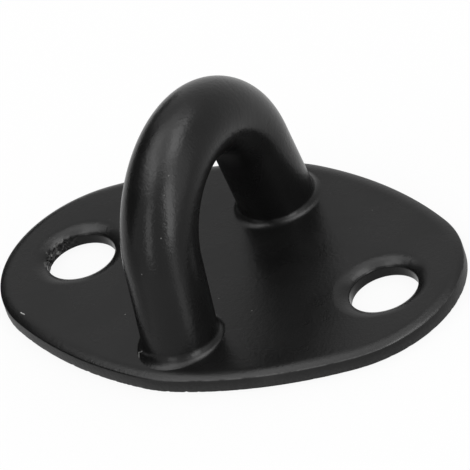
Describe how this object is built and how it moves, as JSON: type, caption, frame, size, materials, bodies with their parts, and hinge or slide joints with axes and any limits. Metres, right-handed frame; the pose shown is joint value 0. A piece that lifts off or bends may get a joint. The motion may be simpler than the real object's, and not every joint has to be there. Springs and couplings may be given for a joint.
{
  "type": "hammock hook",
  "caption": "Wall or ceiling hook for a hammock: a rounded-diamond steel plate with screw holes and a round bar bent to an eye, welded on and powder coated black.",
  "frame": {"origin": "centre of the plate's flat back, halfway between the two screw holes", "axes": "+X along the plate through the screw holes, +Y across it from foot to foot of the eye, +Z out of the plate towards the top of the eye"},
  "size_m": [0.065, 0.0434, 0.029],
  "materials": {
    "black_coat": "satin black powder coat with a fine texture, chipped at one screw hole"
  },
  "bodies": {
    "root": {"base_plate": "black_coat", "eye_bar": "black_coat", "front_foot_weld": "black_coat", "rear_foot_weld": "black_coat"}
  },
  "joints": []
}
